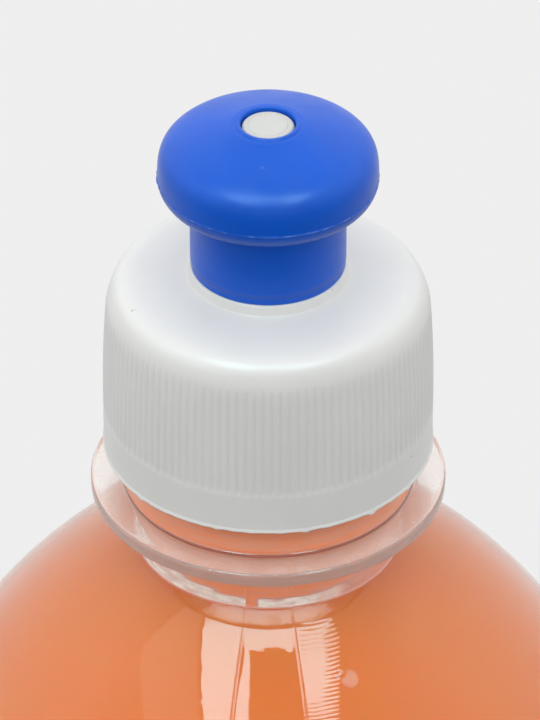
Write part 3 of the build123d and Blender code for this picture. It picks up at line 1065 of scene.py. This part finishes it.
def nozzle_outline(sizes):
    """Closed outline of the nozzle's wall: outside from the foot up to the mouth, then the inside down."""
    bottom, mouth = sizes.lower_edge, sizes.mouth_level
    equator = bottom + sizes.equator_height
    under = equator - sizes.under_radius
    soft = SOFT_EDGE
    bead_bottom = bottom + sizes.bead_rise
    bead_top = bead_bottom + sizes.bead_height
    bead_depth = sizes.bore_radius - sizes.bead_radius
    line_level = bottom + sizes.sleeve_line
    sleeve = rounded([
        (sizes.bore_radius, bottom + soft, 0),
        (sizes.bore_radius, bottom, soft / 2),
        (sizes.sleeve_radius - sizes.sleeve_bevel, bottom, soft / 3),
        (sizes.sleeve_radius - LINE_DEPTH, bottom + sizes.sleeve_bevel, soft / 3),
        (sizes.sleeve_radius - LINE_DEPTH, line_level, 0),
        (sizes.sleeve_radius, line_level + LINE_HEIGHT, 0),
        (sizes.sleeve_radius, under, 2 * soft),
        (sizes.dome_radius - sizes.under_radius, under, 0),
    ], 5)
    belly = arc((sizes.dome_radius - sizes.under_radius, equator), sizes.under_radius, -90, 0, 18)
    slope = sizes.crown_slope
    rim = np.array([sizes.mouth_rim, mouth])
    handle = rim + sizes.crown_reach * np.array([math.cos(slope), -math.sin(slope)])
    side = np.array([sizes.dome_radius, equator])
    crown = bezier(side, side + [0, sizes.crown_drop], handle, rim, 48)
    inside = rounded([
        *((sizes.mouth_rim + out * MM, mouth - deep * MM, soft * part) for out, deep, part in MOUTH_LIP),
        (sizes.mouth_bore, mouth, soft),
        (sizes.mouth_bore, mouth - sizes.mouth_land, soft),
        (sizes.ceiling_radius, bottom + sizes.ceiling_height, soft),
        (sizes.bore_radius, bottom + sizes.bore_height, soft),
        (sizes.bore_radius, bead_top, soft / 2),
        (sizes.bead_radius, bead_top, soft / 2),
        (sizes.bead_radius, bead_bottom + bead_depth, soft / 2),
        (sizes.bore_radius, bead_bottom, soft / 2),
        (sizes.bore_radius, bottom + 1.5 * soft, 0),
    ], 5)
    fine = equator + np.linspace(-FLASH_REACH, FLASH_REACH, 13)
    line = upright(sizes.dome_radius, fine)
    below = belly[belly[:, 1] < fine[0]]
    above = crown[(crown[:, 1] > fine[-1]) & (crown[:, 0] > sizes.mouth_rim + LIP_REACH)]
    outline = np.concatenate([sleeve, below, line, above, inside])
    return densified(without_repeats(outline), 0.45 * MM)


def mould_flash(sizes, angles, levels, radii):
    """Thin uneven fin at the dome's parting line: a bell curve in height, ragged round the axis."""
    equator = sizes.lower_edge + sizes.equator_height
    ragged = 0.55 + 0.45 * hand_wobble(angles, 5, (3, 7, 13, 29, 53, 71))
    fin = np.exp(-(((levels - equator) / FLASH_WIDTH) ** 2))
    return sizes.flash_height * np.clip(ragged, 0.1, 1.2) * fin * (radii > sizes.dome_radius - SKIN)


def build_nozzle(sizes):
    """Blue nozzle: its wall's closed outline spun round the axis, with the mould's flash at the equator."""
    outline = nozzle_outline(sizes)
    angles = even_angles(360)
    radii, levels = np.hsplit(outline, 2)
    flash = mould_flash(sizes, angles, levels, radii)
    room = sizes.flash_height * smooth_step(sizes.sleeve_radius, sizes.dome_radius, radii)
    solid = spin(radii + flash - room, levels, angles, loop=True)
    make_piece("push_pull_nozzle", solid, blue_plastic(sizes), "nozzle", "nozzle")


# Stage

WHITE = (1, 1, 1, 1)


def room_for_rays(tree, light, seen, mirrored):
    """Mix of three shader nodes by the kind of ray.

    Camera and transmission rays meet seen, glossy ones mirrored, and the rest light.
    """
    ray = tree.nodes.new("ShaderNodeLightPath")
    sees = add_math(tree, "MAXIMUM", ray.outputs["Is Camera Ray"], ray.outputs["Is Transmission Ray"])
    shiny = mix_shaders(tree, ray.outputs["Is Glossy Ray"], light, mirrored)
    return mix_shaders(tree, sees, shiny, seen).outputs[0]


def mirrored_room(tree, sizes, way):
    """Brightness of the room along a direction socket.

    It grows upwards, and falls off straight above and in front.
    """
    level = coordinate(tree, way, "Z")
    rise = spread(tree, level, -0.6, 0.6, sizes.mirrored_low, sizes.mirrored_high)
    depth = spread(tree, coordinate(tree, way, "Y"), -0.8, 0.1, sizes.mirrored_front, 1)
    return product(tree, rise, depth, spread(tree, level, 0.6, 0.95, 1, sizes.mirrored_top))


def build_floor(sizes):
    """Pale floor, seen near the backdrop's own colour and keeping a soft shadow."""
    half = sizes.floor_width / 2
    corners = [(-half, -half, 0), (half, -half, 0), (half, half, 0), (-half, half, 0)]
    mesh = bpy.data.meshes.new("studio_floor")
    mesh.from_pydata(corners, [], [(0, 1, 2, 3)])
    material, tree, surface = new_material("studio_floor")
    matt = add(tree, "BsdfDiffuse", Color=(*[sizes.floor_tone] * 3, 1))
    glow = add(tree, "Emission", Color=(*sizes.backdrop, 1), Strength=sizes.floor_glow)
    seen = mix_shaders(tree, sizes.floor_cover, matt, glow)
    incoming = tree.nodes.new("ShaderNodeNewGeometry").outputs["Incoming"]
    way = tree.nodes.new("ShaderNodeVectorMath")
    way.operation = "SCALE"
    way.inputs["Scale"].default_value = -1
    tree.links.new(incoming, way.inputs[0])
    mirrored = add(tree, "Emission", Strength=mirrored_room(tree, sizes, way.outputs[0]), Color=WHITE)
    tree.links.new(room_for_rays(tree, matt, seen, mirrored), surface)
    mesh.materials.append(material)
    floor = bpy.data.objects.new("studio_floor", mesh)
    bpy.context.scene.collection.objects.link(floor)


def build_world(sizes):
    """Soft light that grows towards the ceiling, with the backdrop's colour for the rays that see it."""
    world = bpy.data.worlds.new("studio")
    world.use_nodes = True
    tree = world.node_tree
    tree.nodes.clear()
    output = tree.nodes.new("ShaderNodeOutputWorld")
    way = tree.nodes.new("ShaderNodeTexCoord").outputs["Generated"]
    rise = spread(tree, coordinate(tree, way, "Z"), 0, 1, sizes.side_light, sizes.top_light)
    across = spread(tree, coordinate(tree, way, "X"), -1, 1, 1, sizes.right_light)
    light = add(tree, "Background", Strength=product(tree, rise, across), Color=WHITE)
    seen = add(tree, "Background", Color=(*sizes.backdrop, 1), Strength=1.0)
    mirrored = add(tree, "Background", Strength=mirrored_room(tree, sizes, way), Color=WHITE)
    tree.links.new(room_for_rays(tree, light, seen, mirrored), output.inputs["Surface"])
    bpy.context.scene.world = world


LAMPS = (  # name, left, right, front and back edges as shares of the height, radiance
    ("left_panel", -0.52, -0.15, -0.85, -0.24, 7.2),
    ("left_panel_back", -0.52, -0.15, -0.24, -0.11, 4.8),
    ("top_bar", -0.15, 0.24, -0.42, -0.29, 7.2),
    ("right_panel", 0.24, 0.52, -0.85, -0.24, 7.2),
    ("right_panel_back", 0.24, 0.52, -0.24, -0.13, 4.8),
    ("left_wall", -1.08, -0.55, -0.85, -0.05, 0.7),
)


def build_lamps(sizes, ring_level):
    """Flat panels in one plane over the front, facing down, each with power pi x radiance x area.

    Every panel is a pair: one half is mirrored and lights nothing, the other
    lights the matt faces and isn't mirrored.
    """
    height = sizes.lamp_height
    for name, left, right, front, back, radiance in LAMPS:
        for part, power in (("shine", 1), ("light", sizes.lamp_light)):
            data = bpy.data.lights.new(f"{name}_{part}", "AREA")
            data.shape = "RECTANGLE"
            data.size, data.size_y = (right - left) * height, (back - front) * height
            data.energy = math.pi * radiance * power * data.size * data.size_y
            data.color = sizes.lamp_tint if part == "light" else sizes.shine_tint
            lamp = bpy.data.objects.new(data.name, data)
            lamp.visible_camera = False
            lamp.visible_diffuse = part == "light"
            lamp.visible_glossy = lamp.visible_transmission = part == "shine"
            bpy.context.scene.collection.objects.link(lamp)
            middle = (left + right) / 2 * height, (front + back) / 2 * height
            lamp.location = (*middle, ring_level + height)


def build_camera(sizes, ring_level):
    """Long-lens camera that looks down on the cap and the shoulder."""
    data = bpy.data.cameras.new("photo_camera")
    data.lens = sizes.lens
    data.clip_end = 100.0
    camera = bpy.data.objects.new("photo_camera", data)
    bpy.context.scene.collection.objects.link(camera)
    tilt = sizes.camera_elevation
    away = sizes.camera_distance
    level = ring_level + sizes.aim_rise
    camera.location = (sizes.aim_side, -away * math.cos(tilt), level + away * math.sin(tilt))
    camera.rotation_euler = (math.pi / 2 - tilt, 0, 0)
    bpy.context.scene.camera = camera


class SOAPBOTTLE_OT_bottle(bpy.types.Operator):
    """Builds the clear bottle with its support ring and neck thread"""

    bl_idname = "soapbottle.bottle"
    bl_label = "Bottle"

    def execute(self, context):
        build_bottle(context.scene.soap_bottle)
        return {"FINISHED"}


class SOAPBOTTLE_OT_soap(bpy.types.Operator):
    """Fills the bottle with orange soap"""

    bl_idname = "soapbottle.soap"
    bl_label = "Soap"

    def execute(self, context):
        build_soap(context.scene.soap_bottle)
        return {"FINISHED"}


class SOAPBOTTLE_OT_cap(bpy.types.Operator):
    """Builds the white cap, its plug and the foam washer"""

    bl_idname = "soapbottle.cap"
    bl_label = "Cap"

    def execute(self, context):
        sizes = context.scene.soap_cap
        build_cap(sizes, context.scene.soap_bottle)
        build_plug(sizes)
        build_washer(sizes)
        return {"FINISHED"}


class SOAPBOTTLE_OT_nozzle(bpy.types.Operator):
    """Builds the blue push-pull nozzle"""

    bl_idname = "soapbottle.nozzle"
    bl_label = "Nozzle"

    def execute(self, context):
        build_nozzle(context.scene.soap_nozzle)
        return {"FINISHED"}


class SOAPBOTTLE_OT_studio(bpy.types.Operator):
    """Sets up the floor, the light and the camera"""

    bl_idname = "soapbottle.studio"
    bl_label = "Studio"

    def execute(self, context):
        sizes = context.scene.soap_studio
        ring_level = context.scene.soap_bottle.ring_level
        build_floor(sizes)
        build_world(sizes)
        build_lamps(sizes, ring_level)
        build_camera(sizes, ring_level)
        context.scene.view_settings.view_transform = "Standard"
        return {"FINISHED"}


class SOAPBOTTLE_PT_panel(bpy.types.Panel):
    """Lists the pieces and the studio"""

    bl_label = "Soap Bottle"
    bl_idname = "SOAPBOTTLE_PT_panel"
    bl_space_type = "VIEW_3D"
    bl_region_type = "UI"
    bl_category = "Soap Bottle"

    def draw(self, context):
        for operator in OPERATORS:
            self.layout.operator(operator.bl_idname)


OPERATORS = (
    SOAPBOTTLE_OT_bottle,
    SOAPBOTTLE_OT_soap,
    SOAPBOTTLE_OT_cap,
    SOAPBOTTLE_OT_nozzle,
    SOAPBOTTLE_OT_studio,
)
GROUPS = {
    "soap_bottle": SoapBottleSizes,
    "soap_cap": SoapCapSizes,
    "soap_nozzle": SoapNozzleSizes,
    "soap_studio": SoapStudioSizes,
}


def register():
    """Registers the property groups, operators and panel."""
    for made in (*GROUPS.values(), *OPERATORS, SOAPBOTTLE_PT_panel):
        bpy.utils.register_class(made)
    for name, group in GROUPS.items():
        setattr(bpy.types.Scene, name, bpy.props.PointerProperty(type=group))


def unregister():
    """Removes what register added."""
    for name in GROUPS:
        delattr(bpy.types.Scene, name)
    for made in reversed((*GROUPS.values(), *OPERATORS, SOAPBOTTLE_PT_panel)):
        bpy.utils.unregister_class(made)


def main():
    """Builds every piece and the studio."""
    register()
    bpy.ops.soapbottle.bottle()
    bpy.ops.soapbottle.soap()
    bpy.ops.soapbottle.cap()
    bpy.ops.soapbottle.nozzle()
    bpy.ops.soapbottle.studio()


if __name__ == "__main__":
    main()
